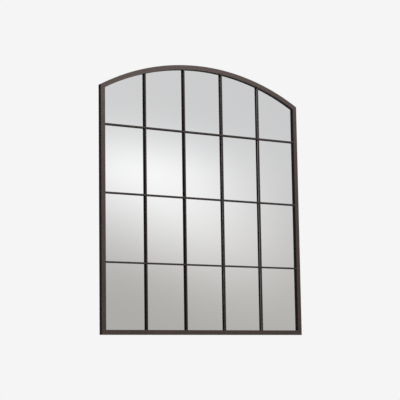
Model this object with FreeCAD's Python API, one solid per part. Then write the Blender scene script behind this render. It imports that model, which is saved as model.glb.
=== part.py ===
import FreeCAD, Part
import math
import os

V = FreeCAD.Vector

# Wall mirror in an arched window frame. Millimetres, +Z up, +X right as seen
# from the room. Drawn with the frame's front at y = 0 and its foot at z = 0,
# then moved so that y = 0 is the wall and z = 0 is the line of the ring pivots.
# A drop is measured down from the crown, an inset in from the frame's side.

# Frame outline and pane grid
width = 1000.0
height = 1160.0
arch_radius = 1020.0
columns = 5
rows = 4

# Folded steel frame section
face_width = 20.0
frame_depth = 20.0
sheet = 1.5
seat_depth = 9.5
seat_width = 7.0
back_flange = 12.5
outer_bend = 2.0

# Lattice bars, square steel, halved into each other
bar_width = 6.0
bar_thick = 6.0

# Glass, tape, board and setting blocks
tape_thick = 1.0
tape_width = 6.0
tape_inset = 0.5
glass_thick = 3.0
glass_gap = 1.5
board_thick = 3.0
board_gap = 0.5
block_length = 40.0
block_thick = 6.0
block_inset = 300.0

# Hexagon-head screws for clips and hangers
screw_radius = 1.6
screw_length = 8.0
screw_hex = 5.5
screw_head = 2.0
screw_clearance = 0.05

# Retaining clips
clip_width = 14.0
clip_sheet = 1.2
clip_foot = 12.0
clip_gap = 0.3
clip_edge = 1.0
low_clip = 160.0
high_clip_drop = 340.0
rail_clip_inset = 210.0
arch_clip_angle = 15.0

# Corner brackets, spot-welded inside the section
bracket_leg = 70.0
bracket_sheet = 2.0
bracket_edge = 0.5

# Hangers
pivot_drop = 250.0
loop_inset = 24.0
hanger_width = 34.0
hanger_drop = 36.0
hanger_sheet = 1.5
hanger_inset = 1.5
hanger_corner = 3.0
hanger_screws = (9.0, 27.0)
loop_width = 12.0
ring_radius = 1.5
ring_clearance = 0.06
ring_gap = 0.75
ring_half = 9.5
ring_bend = 2.0
ring_leg = 5.0
journal_length = 14.0

# Wall bumpers
bumper_radius = 4.0
bumper_height = 7.0
bumper_edge = 0.3
bumper_low = 100.0
bumper_drop = 210.0

# Derived sizes: from the front to the wall
half = width / 2
glass_front = seat_depth + tape_thick
board_front = glass_front + glass_thick
board_back = board_front + board_thick
flange_front = frame_depth - sheet
pivot_y = frame_depth + hanger_sheet + ring_gap + ring_radius
wall = frame_depth + bumper_height
loop_inner = ring_radius + ring_clearance
loop_outer = loop_inner + hanger_sheet

# In from the frame's outline, and across from its middle
glass_inset = back_flange + glass_gap
board_inset = glass_inset + board_gap
fixing_line = back_flange / 2
bumper_line = back_flange - bumper_edge - bumper_radius
column = (width - 2 * face_width) / columns
bar_x = [-half + face_width + column * (i + 1) for i in range(columns - 1)]
hanger_x = half - loop_inset
rail_clip_x = half - rail_clip_inset
block_x = half - block_inset

# Up from the foot
arch_centre = height - arch_radius
row = (height - face_width) / rows
bar_z = [face_width / 2 + row * (i + 1) for i in range(rows - 1)]
pivot_height = height - pivot_drop
high_clip = height - high_clip_drop
stile_clips = (low_clip, (low_clip + high_clip) / 2, high_clip)
bumper_high = height - bumper_drop


def springing(inset):
    """Height at which the side line meets the arch, both moved in by inset."""
    return arch_centre + math.sqrt((arch_radius - inset) ** 2 - (half - inset) ** 2)


def on_arch(inset, degrees):
    """Point on the arch moved in by inset; degrees from the top, left is positive."""
    a = math.radians(degrees)
    r = arch_radius - inset
    return -r * math.sin(a), arch_centre + r * math.cos(a)


def box(x0, x1, y0, y1, z0, z1):
    return Part.makeBox(x1 - x0, y1 - y0, z1 - z0, V(x0, y0, z0))


def rod(radius, y0, y1, x, z):
    return Part.makeCylinder(radius, y1 - y0, V(x, y0, z), V(0, 1, 0))


def prism(points, y0, y1):
    """Prism on a polygon given as (x, z) points, from y0 to y1."""
    corners = [V(x, y0, z) for x, z in points]
    face = Part.Face(Part.makePolygon(corners + corners[:1]))
    return face.extrude(V(0, y1 - y0, 0))


def arched_plate(inset, y0, y1):
    """Plate with the window's outline moved in by inset."""
    x, top = half - inset, springing(inset)
    left, right = V(-x, y0, top), V(x, y0, top)
    crown = V(0, y0, height - inset)
    foot_l, foot_r = V(-x, y0, inset), V(x, y0, inset)
    edges = [Part.Arc(left, crown, right).toShape(), Part.makeLine(right, foot_r),
             Part.makeLine(foot_r, foot_l), Part.makeLine(foot_l, left)]
    return Part.Face(Part.Wire(edges)).extrude(V(0, y1 - y0, 0))


def arched_band(outer, inner, y0, y1):
    return arched_plate(outer, y0, y1).cut(arched_plate(inner, y0 - 1, y1 + 1))


def mirrored(shape):
    return shape.mirror(V(0, 0, 0), V(1, 0, 0))


# Frame

def section():
    """Folded section as (distance in from the outer edge, y, bend radius)."""
    seat_tip = face_width - seat_width
    return [(back_flange, frame_depth, 0), (0, frame_depth, 0),
            (0, 0, outer_bend), (face_width, 0, 0), (face_width, seat_depth, 0),
            (seat_tip, seat_depth, 0), (seat_tip, seat_depth - sheet, 0),
            (face_width - sheet, seat_depth - sheet, 0), (face_width - sheet, sheet, 0),
            (sheet, sheet, 0), (sheet, flange_front, 0), (back_flange, flange_front, 0)]


def section_face(place):
    """Face of the section; place(d, y) gives the point in space."""
    points = section()
    edges, previous = [], None
    for i, (d, y, bend) in enumerate(points):
        start = end = place(d, y)
        if bend:
            before, after = points[i - 1], points[(i + 1) % len(points)]
            to_before = (place(before[0], before[1]) - start).normalize()
            to_after = (place(after[0], after[1]) - end).normalize()
            middle = start + (to_before + to_after) * bend * (1 - math.sqrt(0.5))
            start, end = start + to_before * bend, end + to_after * bend
        if previous:
            edges.append(Part.makeLine(previous, start))
        if bend:
            edges.append(Part.Arc(start, middle, end).toShape())
        previous = end
    edges.append(Part.makeLine(previous, place(points[0][0], points[0][1])))
    return Part.Face(Part.Wire(edges))


def corners(inset):
    """Corners of the outline moved in by inset: foot and springing, left side."""
    return (-half + inset, inset), (-half + inset, springing(inset))


def mitre_zone(side):
    """Region that one frame member or tape strip fills, between its mitres."""
    foot, top = corners(0)
    foot_in, top_in = corners(face_width)
    right_in, right_top = (-top_in[0], top_in[1]), (-top[0], top[1])
    zones = {
        "left": [foot, foot_in, top_in, top],
        "bottom": [foot, foot_in, (-foot_in[0], foot_in[1]), (-foot[0], foot[1])],
        "arch": [top, top_in, right_in, right_top, (half, height + 5), (-half, height + 5)],
    }
    return prism(zones[side], -1, wall + 1)


def left_stile():
    face = section_face(lambda d, y: V(-half + d, y, 0))
    return face.extrude(V(0, 0, springing(0))).common(mitre_zone("left"))


def bottom_rail():
    face = section_face(lambda d, y: V(-half, y, d))
    return face.extrude(V(width, 0, 0)).common(mitre_zone("bottom"))


def arched_head_rail():
    sweep = math.degrees(math.asin(half / arch_radius)) + 1
    axis_point, axis = V(0, 0, arch_centre), V(0, 1, 0)
    face = section_face(lambda d, y: V(0, y, height - d))
    face.rotate(axis_point, axis, -sweep)
    return face.revolve(axis_point, axis, 2 * sweep).common(mitre_zone("arch"))


# Lattice

def upright(x):
    """Vertical bar: top end coped to the arch, rear half notched at each crossing."""
    bar = box(x - bar_width / 2, x + bar_width / 2, 0, bar_thick, face_width, height)
    bar = bar.common(rod(arch_radius - face_width, -1, bar_thick + 1, 0, arch_centre))
    for z in bar_z:
        bar = bar.cut(box(x - bar_width, x + bar_width, bar_thick / 2, bar_thick + 1,
                          z - bar_width / 2, z + bar_width / 2))
    return bar


def crossbar(z):
    """Horizontal bar: front half notched at each crossing."""
    end = half - face_width
    bar = box(-end, end, 0, bar_thick, z - bar_width / 2, z + bar_width / 2)
    for x in bar_x:
        bar = bar.cut(box(x - bar_width / 2, x + bar_width / 2, -1, bar_thick / 2,
                          z - bar_width, z + bar_width))
    return bar


# Screws

def screw(seat):
    """Hexagon-head sheet screw on the local fixing line, its head seated at y = seat."""
    across = screw_hex / math.sqrt(3)
    head = prism([(fixing_line + across * math.cos(math.radians(60 * i)),
                   across * math.sin(math.radians(60 * i))) for i in range(6)], seat, seat + screw_head)
    return head.fuse(rod(screw_radius, seat + screw_head - screw_length, seat, fixing_line, 0))


def screw_hole():
    return rod(screw_radius + screw_clearance, board_back, wall, fixing_line, 0)


# Pieces placed round the frame: built at the origin of a local frame whose
# +X points in from the outer edge, then turned and moved to their place.

def at_side(shape, z):
    placed = shape.copy()
    placed.translate(V(-half, 0, z))
    return placed


def at_foot(shape, x):
    placed = shape.copy()
    placed.rotate(V(0, 0, 0), V(0, 1, 0), -90)
    placed.translate(V(x, 0, 0))
    return placed


def at_arch(shape, degrees):
    placed = shape.copy()
    placed.rotate(V(0, 0, 0), V(0, 1, 0), 90 - degrees)
    x, z = on_arch(0, degrees)
    placed.translate(V(x, 0, z))
    return placed


def clip_places():
    """(name, function that places a local shape there) for the ten clips."""
    places = []
    for name, z in zip(("lower", "middle", "upper"), stile_clips):
        places.append(("left_%s_clip" % name, lambda s, z=z: at_side(s, z)))
        places.append(("right_%s_clip" % name, lambda s, z=z: mirrored(at_side(s, z))))
    for name, side in (("left", -1), ("right", 1)):
        places.append(("rail_%s_clip" % name, lambda s, x=side * rail_clip_x: at_foot(s, x)))
        places.append(("arch_%s_clip" % name, lambda s, a=-side * arch_clip_angle: at_arch(s, a)))
    return places


def clip():
    """Z-shaped clip: leg on the back flange, web, foot on the backing board."""
    web = back_flange + clip_gap
    outline = [(clip_edge, frame_depth), (web, frame_depth), (web, board_back),
               (web + clip_foot, board_back), (web + clip_foot, board_back + clip_sheet),
               (web + clip_sheet, board_back + clip_sheet),
               (web + clip_sheet, frame_depth + clip_sheet), (clip_edge, frame_depth + clip_sheet)]
    points = [V(x, y, -clip_width / 2) for x, y in outline]
    body = Part.Face(Part.makePolygon(points + points[:1])).extrude(V(0, 0, clip_width))
    return body.cut(screw_hole())


# Corner brackets

def corner_zone(upper):
    """Region of a left-hand bracket: one leg along each member from the corner."""
    if not upper:
        return prism([(-half, 0), (-half + bracket_leg, 0), (-half + bracket_leg, face_width),
                      (-half + face_width, bracket_leg), (-half, bracket_leg)], 0, wall)
    top = springing(0)
    end = math.degrees(math.asin(half / arch_radius) - bracket_leg / arch_radius)
    return prism([(-half - 5, top - bracket_leg), (-half + face_width, top - bracket_leg),
                  on_arch(face_width, end), on_arch(-5, end), (-half - 5, top + 10)], 0, wall)


def corner_bracket(upper):
    """Flat steel angle under the back flange, following the frame's corner."""
    outer, inner = sheet + bracket_edge, back_flange - bracket_edge
    band = arched_band(outer, inner, flange_front - bracket_sheet, flange_front)
    return band.common(corner_zone(upper))


# Hangers

def hanger_screw_places():
    """Functions that place a local shape at each of the two left-hand hanger screws."""
    return [lambda s, z=pivot_height - drop: at_side(s, z) for drop in hanger_screws]


def hanger_plate():
    """Left-hand plate with a loop rolled at its top edge for the ring."""
    x0 = -half + hanger_inset
    plate = box(x0, x0 + hanger_width, frame_depth, frame_depth + hanger_sheet,
                pivot_height - hanger_drop, pivot_height)
    foot_edges = [e for e in plate.Edges
                  if e.BoundBox.YLength > hanger_sheet / 2 and e.CenterOfMass.z < pivot_height - 1]
    plate = plate.makeFillet(hanger_corner, foot_edges)
    x1, x2 = -hanger_x - loop_width / 2, -hanger_x + loop_width / 2
    loop = Part.makeCylinder(loop_outer, x2 - x1, V(x1, pivot_y, pivot_height), V(1, 0, 0))
    bore = Part.makeCylinder(loop_inner, x2 - x1 + 2, V(x1 - 1, pivot_y, pivot_height), V(1, 0, 0))
    plate = plate.fuse(loop).cut(bore).removeSplitter()
    for place in hanger_screw_places():
        plate = plate.cut(place(screw_hole()))
    return plate


def ring_outline(offset):
    """Face inside the D of the ring's centre line, moved out by offset."""
    flat, side, bend = ring_half - ring_bend, ring_half + offset, ring_bend + offset
    diagonal = bend * math.sqrt(0.5)

    def at(x, drop):
        return V(x - hanger_x, pivot_y - ring_radius, pivot_height - drop)

    def corner(way):
        return Part.Arc(at(way * flat, -offset), at(way * (flat + diagonal), ring_bend - diagonal),
                        at(way * side, ring_bend)).toShape()

    edges = [Part.makeLine(at(-flat, -offset), at(flat, -offset)), corner(1),
             Part.makeLine(at(side, ring_bend), at(side, ring_leg)),
             Part.Arc(at(side, ring_leg), at(0, ring_leg + side), at(-side, ring_leg)).toShape(),
             Part.makeLine(at(-side, ring_leg), at(-side, ring_bend)), corner(-1)]
    return Part.Face(Part.Wire(edges))


def d_ring():
    """Left-hand D-ring, hanging down: square section, round where it turns in the loop."""
    blank = ring_outline(ring_radius).cut(ring_outline(-ring_radius)).extrude(V(0, 2 * ring_radius, 0))
    x0, x1 = -hanger_x - journal_length / 2, -hanger_x + journal_length / 2
    gap = box(x0, x1, pivot_y - ring_radius, pivot_y + ring_radius,
              pivot_height - ring_radius, pivot_height + ring_radius)
    journal = Part.makeCylinder(ring_radius, x1 - x0, V(x0, pivot_y, pivot_height), V(1, 0, 0))
    return blank.cut(gap).fuse(journal)


def bumper(x, z):
    return rod(bumper_radius, frame_depth, wall, x, z)


def setting_block():
    """Left-hand block that carries the glass's foot on the rail's outer wall."""
    x = -block_x
    return box(x - block_length / 2, x + block_length / 2, glass_front, glass_front + block_thick,
               sheet, glass_inset)


# Assembly

def build():
    parts = {}

    def pair(name, shape):
        parts["left_" + name] = shape
        parts["right_" + name] = mirrored(shape)

    members = {"left_stile": left_stile(), "bottom_rail": bottom_rail(),
               "arched_head_rail": arched_head_rail()}
    members["right_stile"] = mirrored(members["left_stile"])

    hanger_fixings = [place(screw(frame_depth + hanger_sheet)) for place in hanger_screw_places()]
    holes = [place(screw_hole()) for place in hanger_screw_places()]
    holes += [mirrored(hole) for hole in holes]
    clips, clip_fixings = {}, []
    for name, place in clip_places():
        clips[name] = place(clip())
        clip_fixings.append(place(screw(frame_depth + clip_sheet)))
        holes.append(place(screw_hole()))
    for name, member in members.items():
        parts[name] = member.cut(Part.makeCompound(holes))

    for name, x in zip(("far_left", "inner_left", "inner_right", "far_right"), bar_x):
        parts["%s_vertical_bar" % name] = upright(x)
    for name, z in zip(("lower", "middle", "upper"), bar_z):
        parts["%s_horizontal_bar" % name] = crossbar(z)

    outer = face_width - tape_inset - tape_width
    tape = arched_band(outer, face_width - tape_inset, seat_depth, glass_front)
    pair("glazing_tape", tape.common(mitre_zone("left")))
    parts["bottom_glazing_tape"] = tape.common(mitre_zone("bottom"))
    parts["arch_glazing_tape"] = tape.common(mitre_zone("arch"))

    parts["mirror_glass"] = arched_plate(glass_inset, glass_front, board_front)
    parts["backing_board"] = arched_plate(board_inset, board_front, board_back)
    pair("setting_block", setting_block())

    pair("lower_corner_bracket", corner_bracket(upper=False))
    pair("upper_corner_bracket", corner_bracket(upper=True))
    parts.update(clips)
    parts["clip_screws"] = Part.makeCompound(clip_fixings)
    pair("hanger_plate", hanger_plate())
    pair("hanger_ring", d_ring())
    parts["hanger_screws"] = Part.makeCompound(hanger_fixings + [mirrored(s) for s in hanger_fixings])
    pair("lower_bumper", bumper(bumper_line - half, bumper_low))
    pair("upper_bumper", bumper(bumper_line - half, bumper_high))
    return parts


def main():
    os.makedirs("parts", exist_ok=True)
    for name, shape in build().items():
        shape.translate(V(0, -wall, -pivot_height))
        shape.exportStep("parts/%s.step" % name)


main()
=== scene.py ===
import bmesh
import bpy
import math
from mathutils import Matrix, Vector


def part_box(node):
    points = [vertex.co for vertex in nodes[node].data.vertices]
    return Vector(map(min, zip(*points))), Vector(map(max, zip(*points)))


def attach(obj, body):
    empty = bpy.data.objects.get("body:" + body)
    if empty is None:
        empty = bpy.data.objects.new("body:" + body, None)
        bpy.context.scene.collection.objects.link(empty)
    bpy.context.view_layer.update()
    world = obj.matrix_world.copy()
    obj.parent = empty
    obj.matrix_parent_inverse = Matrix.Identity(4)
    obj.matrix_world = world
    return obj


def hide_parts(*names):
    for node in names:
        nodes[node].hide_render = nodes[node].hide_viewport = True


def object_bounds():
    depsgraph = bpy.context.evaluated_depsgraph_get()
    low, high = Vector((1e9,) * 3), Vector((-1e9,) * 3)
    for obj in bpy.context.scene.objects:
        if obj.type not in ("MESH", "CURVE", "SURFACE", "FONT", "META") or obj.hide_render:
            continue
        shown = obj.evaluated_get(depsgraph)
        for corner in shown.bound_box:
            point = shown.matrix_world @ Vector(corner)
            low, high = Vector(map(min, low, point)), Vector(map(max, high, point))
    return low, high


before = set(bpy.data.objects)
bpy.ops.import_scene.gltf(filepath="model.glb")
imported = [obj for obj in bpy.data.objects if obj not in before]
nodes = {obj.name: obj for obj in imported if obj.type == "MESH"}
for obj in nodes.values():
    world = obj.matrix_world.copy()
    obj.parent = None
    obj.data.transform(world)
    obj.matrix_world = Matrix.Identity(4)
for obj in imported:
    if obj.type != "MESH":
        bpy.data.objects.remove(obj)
cad_box = [list(corner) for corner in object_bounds()]

# The wall is at y = 0, the room on its -Y side, and z = 0 is the line of the ring pivots.
# Lengths are in metres, angles in degrees.

# Camera, fitted to the frame's and the bars' lines in the photograph
CAMERA_PLACE = (-2.893, -4.566, -1.042)
CAMERA_TURN = (97.485, 0.841, -32.182)
CAMERA_LENS = 114.05
CAMERA_SENSOR = 36.0

# Two soft round lamps, aimed near the middle of the object
LAMP_AIM = (0.0, 0.0, -0.3)
KEY_PLACE = (1.6, -2.3, 2.3)
KEY_SIZE = 1.8
KEY_POWER = 128.0
BACK_PLACE = (1.4, 2.4, 1.0)
BACK_SIZE = 1.6
BACK_POWER = 50.0

# Brightness of the background, and of the even light on what is matt
BACKGROUND = 0.913
PLAIN_LIGHT = 0.18

# Floor: how far the mirror hangs above it, where it fades, how much of the background's
# paleness it shows, and how much darker it is to a ray that was scattered or reflected twice
FLOOR_BELOW_FOOT = 0.9
FLOOR_RADIUS = 7.0
FLOOR_SIDES = 96
FLOOR_FADE = (0.3 * FLOOR_RADIUS, 0.98 * FLOOR_RADIUS)
FLOOR_TONE = (0.78, 0.82)
FLOOR_PALENESS = 0.5
FLOOR_HOLDS_BACK = 0.75

# The room that glossy surfaces show goes by direction: azimuth from straight out, elevation
# from level. Each pair of angles is where a change starts and where it ends.
# Grey band that grows lighter upwards, and what is added to it from one side to the other
BAND_ELEVATION = (2.69, 10.13)
BAND_LOW = (0.446, 0.437, 0.421)
BAND_HIGH = (0.663, 0.666, 0.674)
TILT_AZIMUTH = (21.0, 38.0)
TILT = (0.031, -0.034)

# Bright ceiling above the band
CEILING_ELEVATION = (13.5, 28.0)
CEILING = 1.3

# Upright softbox above what the mirror shows, for the sheen on the frame
SOFTBOX_AZIMUTH = 22.0
SOFTBOX_WIDTH = 18.0
SOFTBOX_FOOT = (14.0, 20.0)
SOFTBOX_TOP = (60.0, 42.0)
SOFTBOX_STRENGTH = 4.4

# Shade on the wall's side, by the direction's Y part, and a pale panel within it, by how close
# the direction is to the panel's own
WALL_SHADE = (0.07, 0.066, 0.062)
WALL_SHADE_DEPTH = (-0.20, 0.30)
BACK_PANEL = (0.50, 0.84, 0.20)
BACK_PANEL_EDGE = (0.62, 0.86)
BACK_PANEL_STRENGTH = 0.62

# Glow in the band: its middle, how it leans, its widths and its strength
GLOW_AZIMUTH = 30.23
GLOW_ELEVATION = 8.47
GLOW_LEAN = 0.843
GLOW_WIDTH = 4.32
GLOW_ABOVE = 1.93
GLOW_BELOW = 5.21
GLOW_STRENGTH = 0.354
GLOW_SEAM = (-0.01, 0.01)

# How bright the room still is to a ray that the glossy surfaces have reflected twice
TWICE_REFLECTED = 0.24

# Wire of the hanging rings
WIRE_RADIUS = 0.0015
WIRE_SIDES = 20
RING_HALF = 0.0095
RING_BEND = 0.002
RING_LEG = 0.003
BEND_STEPS = 8
HALF_TURN_STEPS = 32

# Rounding of the solids' sharp edges
WELD_DISTANCE = 0.00001
FLAT_ANGLE = 0.2
BEVEL_ANGLE = 32.0
BEVEL_SEGMENTS = 2

# Which finish a node has, by the first of these words in its name, and how far its edges
# are rounded
FINISHES = (
    ("_bar", "lattice", 0.0004), ("tape", "tape", 0.0), ("block", "block", 0.0006),
    ("glass", "mirror", 0.0), ("board", "board", 0.0), ("bracket", "bracket", 0.0002),
    ("clip", "zinc", 0.00015), ("hanger", "zinc", 0.0002), ("bumper", "bumper", 0.0005),
    ("stile", "bronze", 0.0004), ("rail", "bronze", 0.0004),
)


# Node graphs

def rgb(*values):
    return (*values, 1.0)


def grey(value):
    return rgb(value, value, value)


class Graph:
    """A node tree, with short ways to add nodes and join them."""

    def __init__(self, tree):
        self.nodes = tree.nodes
        self.links = tree.links

    def give(self, value, socket):
        """Gives a socket a number, a colour, a vector or another node's output."""
        if isinstance(value, bpy.types.NodeSocket):
            self.links.new(value, socket)
        else:
            socket.default_value = value

    def add(self, kind, inputs=(), **settings):
        node = self.nodes.new("ShaderNode" + kind)
        for key, value in settings.items():
            setattr(node, key, value)
        for key, value in dict(inputs).items():
            self.give(value, node.inputs[key])
        return node

    def math(self, operation, a, b=0.0):
        return self.add("Math", {0: a, 1: b}, operation=operation).outputs[0]

    def span(self, value, low, high, to_low=0.0, to_high=1.0, smooth=True):
        """Value mapped from low..high to to_low..to_high, and held outside that."""
        node = self.add("MapRange", {"Value": value, "From Min": low, "From Max": high,
                                     "To Min": to_low, "To Max": to_high})
        node.interpolation_type = "SMOOTHSTEP" if smooth else "LINEAR"
        return node.outputs["Result"]

    def bell(self, value, width):
        """1 where the value is 0, and near 0 past about twice the width."""
        share = self.math("DIVIDE", value, width)
        return self.math("EXPONENT", self.math("MULTIPLY", self.math("MULTIPLY", share, share), -1.0))

    def mix(self, factor, a, b, blend="MIX"):
        node = self.add("Mix", data_type="RGBA", blend_type=blend)
        for socket, value in zip((node.inputs[0], node.inputs[6], node.inputs[7]), (factor, a, b)):
            self.give(value, socket)
        return node.outputs[2]

    def mix_shaders(self, factor, a, b):
        return self.add("MixShader", {0: factor, 1: a, 2: b}).outputs[0]

    def dot(self, a, b):
        return self.add("VectorMath", {0: a, 1: b}, operation="DOT_PRODUCT").outputs["Value"]

    def noise(self, vector, scale, detail=4.0, roughness=0.55):
        node = self.add("TexNoise", {"Vector": vector, "Scale": scale, "Detail": detail,
                                     "Roughness": roughness})
        return node.outputs["Fac"]


# Camera and lamps

def make_camera():
    data = bpy.data.cameras.new("camera")
    data.sensor_width = CAMERA_SENSOR
    data.lens = CAMERA_LENS
    camera = bpy.data.objects.new("camera", data)
    camera.location = CAMERA_PLACE
    camera.rotation_euler = [math.radians(angle) for angle in CAMERA_TURN]
    bpy.context.scene.collection.objects.link(camera)
    bpy.context.scene.camera = camera


def make_lamp(name, place, size, power):
    """Soft lamp that lights surfaces, but isn't seen in what is glossy."""
    data = bpy.data.lights.new(name, "AREA")
    data.shape = "DISK"
    data.size = size
    data.energy = power
    lamp = bpy.data.objects.new(name, data)
    lamp.location = place
    lamp.rotation_euler = (Vector(LAMP_AIM) - Vector(place)).to_track_quat("-Z", "Y").to_euler()
    lamp.visible_glossy = False
    bpy.context.scene.collection.objects.link(lamp)


# World

def room_band(graph, azimuth, elevation):
    """Colour of the grey band and the ceiling above it."""
    band = graph.mix(graph.span(elevation, *BAND_ELEVATION), rgb(*BAND_LOW), rgb(*BAND_HIGH))
    band = graph.mix(1.0, band, graph.span(azimuth, *TILT_AZIMUTH, *TILT, smooth=False), "ADD")
    return graph.mix(graph.span(elevation, *CEILING_ELEVATION), band, grey(CEILING))


def softbox_mask(graph, azimuth, elevation):
    """1 in the middle of the softbox, 0 away from it."""
    across = graph.bell(graph.math("SUBTRACT", azimuth, SOFTBOX_AZIMUTH), SOFTBOX_WIDTH)
    above_foot = graph.math("MULTIPLY", across, graph.span(elevation, *SOFTBOX_FOOT))
    return graph.math("MULTIPLY", above_foot, graph.span(elevation, *SOFTBOX_TOP))


def glow_mask(graph, azimuth, elevation):
    """1 in the middle of the glow, fading sooner above it than below."""
    above = graph.math("SUBTRACT", elevation, GLOW_ELEVATION)
    reach = graph.span(above, *GLOW_SEAM, GLOW_BELOW, GLOW_ABOVE, smooth=False)
    aside = graph.math("SUBTRACT", azimuth, GLOW_AZIMUTH)
    across = graph.math("ADD", aside, graph.math("MULTIPLY", above, GLOW_LEAN))
    return graph.math("MULTIPLY", graph.bell(above, reach), graph.bell(across, GLOW_WIDTH))


def room_colour(graph):
    """Colour of the room by direction, as what is glossy shows it."""
    direction = graph.add("TexCoord").outputs["Generated"]
    part = graph.add("SeparateXYZ", {0: direction}).outputs
    outward = graph.math("MULTIPLY", part["Y"], -1.0)
    azimuth = graph.math("DEGREES", graph.math("ARCTAN2", part["X"], outward))
    elevation = graph.math("DEGREES", graph.math("ARCSINE", part["Z"]))

    room = graph.mix(softbox_mask(graph, azimuth, elevation), room_band(graph, azimuth, elevation),
                     grey(SOFTBOX_STRENGTH))
    shaded = graph.mix(1.0, room, rgb(*WALL_SHADE), "MULTIPLY")
    room = graph.mix(graph.span(part["Y"], *WALL_SHADE_DEPTH), room, shaded)
    towards_panel = graph.dot(direction, BACK_PANEL)
    room = graph.mix(graph.span(towards_panel, *BACK_PANEL_EDGE), room, grey(BACK_PANEL_STRENGTH))
    glow = graph.mix(1.0, grey(GLOW_STRENGTH), glow_mask(graph, azimuth, elevation), "MULTIPLY")
    return graph.mix(1.0, room, glow, "ADD")


def make_world():
    """Plain pale background, even light on the object, and the room in what shines."""
    world = bpy.data.worlds.new("studio")
    world.use_nodes = True
    bpy.context.scene.world = world
    world.node_tree.nodes.clear()
    graph = Graph(world.node_tree)
    ray = graph.add("LightPath").outputs
    plain = graph.add("Background", {"Color": grey(1.0), "Strength": PLAIN_LIGHT}).outputs[0]
    shown = graph.add("Background", {"Color": grey(BACKGROUND)}).outputs[0]
    strength = graph.span(ray["Glossy Depth"], 1.0, 2.0, 1.0, TWICE_REFLECTED, smooth=False)
    room = graph.add("Background", {"Color": room_colour(graph), "Strength": strength}).outputs[0]
    unscattered = graph.math("LESS_THAN", ray["Diffuse Depth"], 0.5)
    mirrored = graph.math("MULTIPLY", ray["Is Glossy Ray"], unscattered)
    lit = graph.mix_shaders(mirrored, plain, room)
    graph.add("OutputWorld", {"Surface": graph.mix_shaders(ray["Is Camera Ray"], lit, shown)})


# Floor

def floor_material():
    """Matt and pale, and darker to rays that were scattered, or reflected twice."""
    material, graph, surface = new_material("floor")
    place = graph.add("TexCoord").outputs["Object"]
    tone = graph.span(graph.noise(place, scale=3.0), 0.3, 0.7, *FLOOR_TONE)
    colour = graph.add("CombineColor", {0: tone, 1: tone, 2: tone}).outputs[0]
    graph.give(colour, surface.inputs["Base Color"])
    graph.give(0.85, surface.inputs["Roughness"])

    ray = graph.add("LightPath").outputs
    pale = graph.add("Emission", {"Color": grey(BACKGROUND)}).outputs[0]
    looked_at = graph.math("MAXIMUM", ray["Is Camera Ray"], ray["Is Glossy Ray"])
    paleness = graph.math("MULTIPLY", looked_at, FLOOR_PALENESS)
    seen = graph.mix_shaders(paleness, surface.outputs[0], pale)

    dark = graph.add("Emission", {"Strength": 0.0}).outputs[0]
    scattered = graph.math("GREATER_THAN", ray["Diffuse Depth"], 0.5)
    again = graph.math("GREATER_THAN", ray["Glossy Depth"], 1.5)
    held_back = graph.math("MULTIPLY", graph.math("MAXIMUM", scattered, again), FLOOR_HOLDS_BACK)
    seen = graph.mix_shaders(held_back, seen, dark)

    part = graph.add("SeparateXYZ", {0: place}).outputs
    flat = graph.add("CombineXYZ", {"X": part["X"], "Y": part["Y"]}).outputs[0]
    distance = graph.add("VectorMath", {0: flat}, operation="LENGTH").outputs["Value"]
    clear = graph.add("BsdfTransparent").outputs[0]
    faded = graph.mix_shaders(graph.span(distance, *FLOOR_FADE), seen, clear)
    graph.give(faded, graph.nodes["Material Output"].inputs["Surface"])
    return material


def make_floor():
    """Pale disc below the mirror, whose rim fades into the background."""
    level = cad_box[0][2] - FLOOR_BELOW_FOOT
    turns = [math.tau * i / FLOOR_SIDES for i in range(FLOOR_SIDES)]
    rim = [(FLOOR_RADIUS * math.cos(turn), FLOOR_RADIUS * math.sin(turn), level) for turn in turns]
    mesh = bpy.data.meshes.new("floor")
    mesh.from_pydata(rim, [], [list(range(FLOOR_SIDES))])
    mesh.materials.append(floor_material())
    floor = bpy.data.objects.new("floor", mesh)
    bpy.context.scene.collection.objects.link(floor)


# Materials

def new_material(name):
    material = bpy.data.materials.new(name)
    material.use_nodes = True
    return material, Graph(material.node_tree), material.node_tree.nodes["Principled BSDF"]


def edge_mask(graph, radius):
    """1 on edges and in corners, 0 on flat faces."""
    soft = graph.add("Bevel", {"Radius": radius}, samples=6).outputs[0]
    true = graph.add("NewGeometry").outputs["Normal"]
    return graph.span(graph.dot(soft, true), 0.995, 0.85)


def bump(graph, surface, height, depth):
    node = graph.add("Bump", {"Height": height, "Distance": depth})
    graph.give(node.outputs[0], surface.inputs["Normal"])


def bronze_material(name, dark, light, speck_colour, gloss, edge_width):
    """Dark bronze finish: mottled, with fine grain, and painted shade that darkens its edges and
    corners.
    """
    # Near-black colour of the painted shade on edges and corners
    edge_shade_colour = rgb(0.010, 0.007, 0.006)
    material, graph, surface = new_material(name)
    place = graph.add("TexCoord").outputs["Object"]
    cloud = graph.noise(place, scale=14.0, detail=5.0, roughness=0.6)
    mottle = graph.noise(place, scale=90.0, detail=6.0, roughness=0.65)
    grain = graph.noise(place, scale=900.0, detail=3.0)

    blend = graph.math("ADD", graph.math("MULTIPLY", cloud, 0.55), graph.math("MULTIPLY", mottle, 0.45))
    body = graph.mix(graph.span(blend, 0.36, 0.64), rgb(*dark), rgb(*light))
    speck = graph.span(grain, 0.60, 0.72, to_high=0.35)
    speckled = graph.mix(speck, body, rgb(*speck_colour))
    # Painted shade: edges and corners darken towards near-black, more in some patches of the mottle
    # than in others.
    edge_shade_strength = graph.span(mottle, 0.35, 0.60, 0.5, 0.9)
    edge = graph.math("MULTIPLY", edge_mask(graph, edge_width), edge_shade_strength)
    graph.give(graph.mix(edge, speckled, edge_shade_colour), surface.inputs["Base Color"])
    graph.give(graph.span(mottle, 0.3, 0.7, 0.38, 0.28), surface.inputs["Roughness"])
    graph.give(0.15, surface.inputs["Metallic"])
    graph.give(gloss, surface.inputs["Specular IOR Level"])
    height = graph.math("ADD", graph.math("MULTIPLY", grain, 0.4), mottle)
    bump(graph, surface, height, depth=0.00012)
    return material


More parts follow.
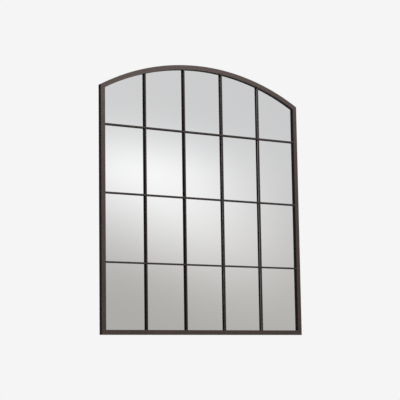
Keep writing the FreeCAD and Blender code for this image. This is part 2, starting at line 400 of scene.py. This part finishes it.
def mirror_material():
    """Silvered glass: neutral, with the faintest unevenness of cleaning marks."""
    material, graph, surface = new_material("silvered_glass")
    place = graph.add("TexCoord").outputs["Object"]
    film = graph.noise(place, scale=7.0, detail=4.0)
    silver = graph.mix(graph.span(film, 0.3, 0.7), grey(0.925), grey(0.935))
    graph.give(silver, surface.inputs["Base Color"])
    graph.give(graph.span(film, 0.35, 0.75, 0.004, 0.02), surface.inputs["Roughness"])
    graph.give(1.0, surface.inputs["Metallic"])
    return material


def board_material():
    """Hardboard: brown pressed fibres, a little longer across than up."""
    fibre_stretch = (1.0, 1.0, 2.6)
    material, graph, surface = new_material("hardboard")
    place = graph.add("TexCoord").outputs["Object"]
    fibre_place = graph.add("Mapping", {"Vector": place, "Scale": fibre_stretch}).outputs[0]
    fibre = graph.noise(fibre_place, scale=700.0, detail=6.0, roughness=0.7)
    cloud = graph.noise(place, scale=9.0, detail=3.0)
    body = graph.mix(graph.span(fibre, 0.32, 0.68), rgb(0.165, 0.095, 0.052), rgb(0.330, 0.215, 0.130))
    shade = graph.mix(graph.span(cloud, 0.3, 0.7), grey(0.96), rgb(1.03, 1.02, 1.0))
    graph.give(graph.mix(1.0, body, shade, "MULTIPLY"), surface.inputs["Base Color"])
    graph.give(graph.span(fibre, 0.3, 0.7, 0.85, 0.62), surface.inputs["Roughness"])
    bump(graph, surface, fibre, depth=0.0002)
    return material


def rubber_material(name, dark, light):
    """Matt rubber or foam with a fine grain and a faint bloom."""
    material, graph, surface = new_material(name)
    place = graph.add("TexCoord").outputs["Object"]
    grain = graph.noise(place, scale=1600.0, detail=3.0)
    bloom = graph.noise(place, scale=160.0, detail=4.0)
    colour = graph.mix(graph.span(bloom, 0.35, 0.7), rgb(*dark), rgb(*light))
    graph.give(colour, surface.inputs["Base Color"])
    graph.give(graph.span(bloom, 0.3, 0.7, 0.72, 0.9), surface.inputs["Roughness"])
    bump(graph, surface, grain, depth=0.0001)
    return material


def steel_material(name, dark, light, rough):
    """Zinc-plated or bare steel with drawn lines, clouding and brighter edges."""
    drawn_stretch = (1.0, 1.0, 0.08)
    material, graph, surface = new_material(name)
    place = graph.add("TexCoord").outputs["Object"]
    drawn = graph.add("Mapping", {"Vector": place, "Scale": drawn_stretch}).outputs[0]
    lines = graph.noise(drawn, scale=2200.0, detail=3.0)
    cloud = graph.noise(place, scale=130.0, detail=5.0, roughness=0.6)
    body = graph.mix(graph.span(cloud, 0.3, 0.7), rgb(*dark), rgb(*light))
    edge = graph.math("MULTIPLY", edge_mask(graph, radius=0.0004), 0.5)
    graph.give(graph.mix(edge, body, rgb(0.8, 0.79, 0.77)), surface.inputs["Base Color"])
    graph.give(graph.span(lines, 0.3, 0.7, rough - 0.07, rough + 0.09), surface.inputs["Roughness"])
    graph.give(0.9, surface.inputs["Metallic"])
    bump(graph, surface, lines, depth=0.00004)
    return material


def make_finishes():
    """Each finish's material, by its word in FINISHES."""
    return {
        "bronze": bronze_material("dark_bronze", (0.029, 0.011, 0.006), (0.046, 0.020, 0.012),
                                  (0.085, 0.062, 0.051), gloss=0.82, edge_width=0.0022),
        # Painted shade: the bars' bronze is a darker copy of the frame's.
        "lattice": bronze_material("shaded_lattice_bronze", (0.021, 0.013, 0.0095), (0.038, 0.024, 0.019),
                                   (0.064, 0.047, 0.038), gloss=0.55, edge_width=0.0010),
        "mirror": mirror_material(),
        "board": board_material(),
        "tape": rubber_material("foam_tape", (0.030, 0.030, 0.031), (0.055, 0.055, 0.056)),
        "block": rubber_material("block_rubber", (0.020, 0.020, 0.021), (0.040, 0.040, 0.041)),
        "bumper": rubber_material("bumper_rubber", (0.024, 0.023, 0.022), (0.050, 0.048, 0.046)),
        "bracket": steel_material("bracket_steel", (0.30, 0.29, 0.28), (0.46, 0.45, 0.44), rough=0.42),
        "zinc": steel_material("zinc_steel", (0.50, 0.50, 0.49), (0.68, 0.68, 0.66), rough=0.30),
    }


# Finish and edges of the solids

def soften(node, width):
    """Rounds a piece's sharp edges by this much."""
    for polygon in node.data.polygons:
        polygon.use_smooth = True
    weld = node.modifiers.new("weld", "WELD")
    weld.merge_threshold = WELD_DISTANCE
    flat = node.modifiers.new("flat", "DECIMATE")
    flat.decimate_type = "DISSOLVE"
    flat.angle_limit = math.radians(FLAT_ANGLE)
    bevel = node.modifiers.new("bevel", "BEVEL")
    bevel.width = width
    bevel.segments = BEVEL_SEGMENTS
    bevel.limit_method = "ANGLE"
    bevel.angle_limit = math.radians(BEVEL_ANGLE)
    bevel.harden_normals = False
    normals = node.modifiers.new("normals", "WEIGHTED_NORMAL")
    normals.keep_sharp = False


def dress(finishes):
    """Gives each solid its finish and rounds its edges."""
    for name, node in nodes.items():
        finish, edge = next((finish, edge) for word, finish, edge in FINISHES if word in name)
        node.data.materials.clear()
        node.data.materials.append(finishes[finish])
        if edge:
            soften(node, edge)


# The round wire of the hanging rings

def angles_to(degrees, steps):
    """Angles in radians from 0 to this many degrees, in even steps."""
    return [math.radians(degrees * i / steps) for i in range(steps + 1)]


def ring_line():
    """Closed line of the wire, across and up from its pivot: a D with its flat side up."""
    flat, leg = RING_HALF - RING_BEND, RING_BEND + RING_LEG
    line = [(flat + RING_BEND * math.sin(a), RING_BEND * math.cos(a) - RING_BEND)
            for a in angles_to(90.0, BEND_STEPS)]
    line += [(RING_HALF * math.cos(a), -leg - RING_HALF * math.sin(a))
             for a in angles_to(180.0, HALF_TURN_STEPS)]
    line += [(-flat - RING_BEND * math.cos(a), RING_BEND * math.sin(a) - RING_BEND)
             for a in angles_to(90.0, BEND_STEPS)]
    return line


def ring_mesh(name, pivot):
    """Sweeps the wire's round section along the ring's line."""
    line = ring_line()
    count, sides = len(line), WIRE_SIDES
    verts = []
    for i, (x, z) in enumerate(line):
        before, after = Vector(line[i - 1]), Vector(line[(i + 1) % count])
        along = (after - before).normalized()
        for k in range(sides):
            turn = math.tau * k / sides
            out = WIRE_RADIUS * math.cos(turn)
            verts.append((pivot[0] + x + out * along.y, pivot[1] + WIRE_RADIUS * math.sin(turn),
                          pivot[2] + z - out * along.x))
    faces = [(i * sides + k, i * sides + (k + 1) % sides,
              (i + 1) % count * sides + (k + 1) % sides, (i + 1) % count * sides + k)
             for i in range(count) for k in range(sides)]
    mesh = bpy.data.meshes.new(name)
    mesh.from_pydata(verts, [], faces)
    mesh.validate()
    return mesh


def face_outwards(mesh):
    shape = bmesh.new()
    shape.from_mesh(mesh)
    bmesh.ops.recalc_face_normals(shape, faces=shape.faces)
    shape.to_mesh(mesh)
    shape.free()


def make_ring(name, pivot, material):
    mesh = ring_mesh(name, pivot)
    face_outwards(mesh)
    for polygon in mesh.polygons:
        polygon.use_smooth = True
    mesh.materials.append(material)
    ring = bpy.data.objects.new(name, mesh)
    bpy.context.scene.collection.objects.link(ring)
    return ring


def make_rings(material):
    """Round rings in place of the solids' square ones, about the same pivots."""
    for side in ("left", "right"):
        low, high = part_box(side + "_hanger_ring")
        pivot = ((low[0] + high[0]) / 2, (low[1] + high[1]) / 2, high[2] - WIRE_RADIUS)
        ring = make_ring(side + "_ring_wire", pivot, material)
        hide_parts(side + "_hanger_ring")
        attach(ring, side + "_ring")


make_camera()
make_world()
make_floor()
make_lamp("key_lamp", KEY_PLACE, KEY_SIZE, KEY_POWER)
make_lamp("back_lamp", BACK_PLACE, BACK_SIZE, BACK_POWER)
finishes = make_finishes()
dress(finishes)
make_rings(finishes["zinc"])

bpy.context.scene.view_settings.view_transform = "Standard"
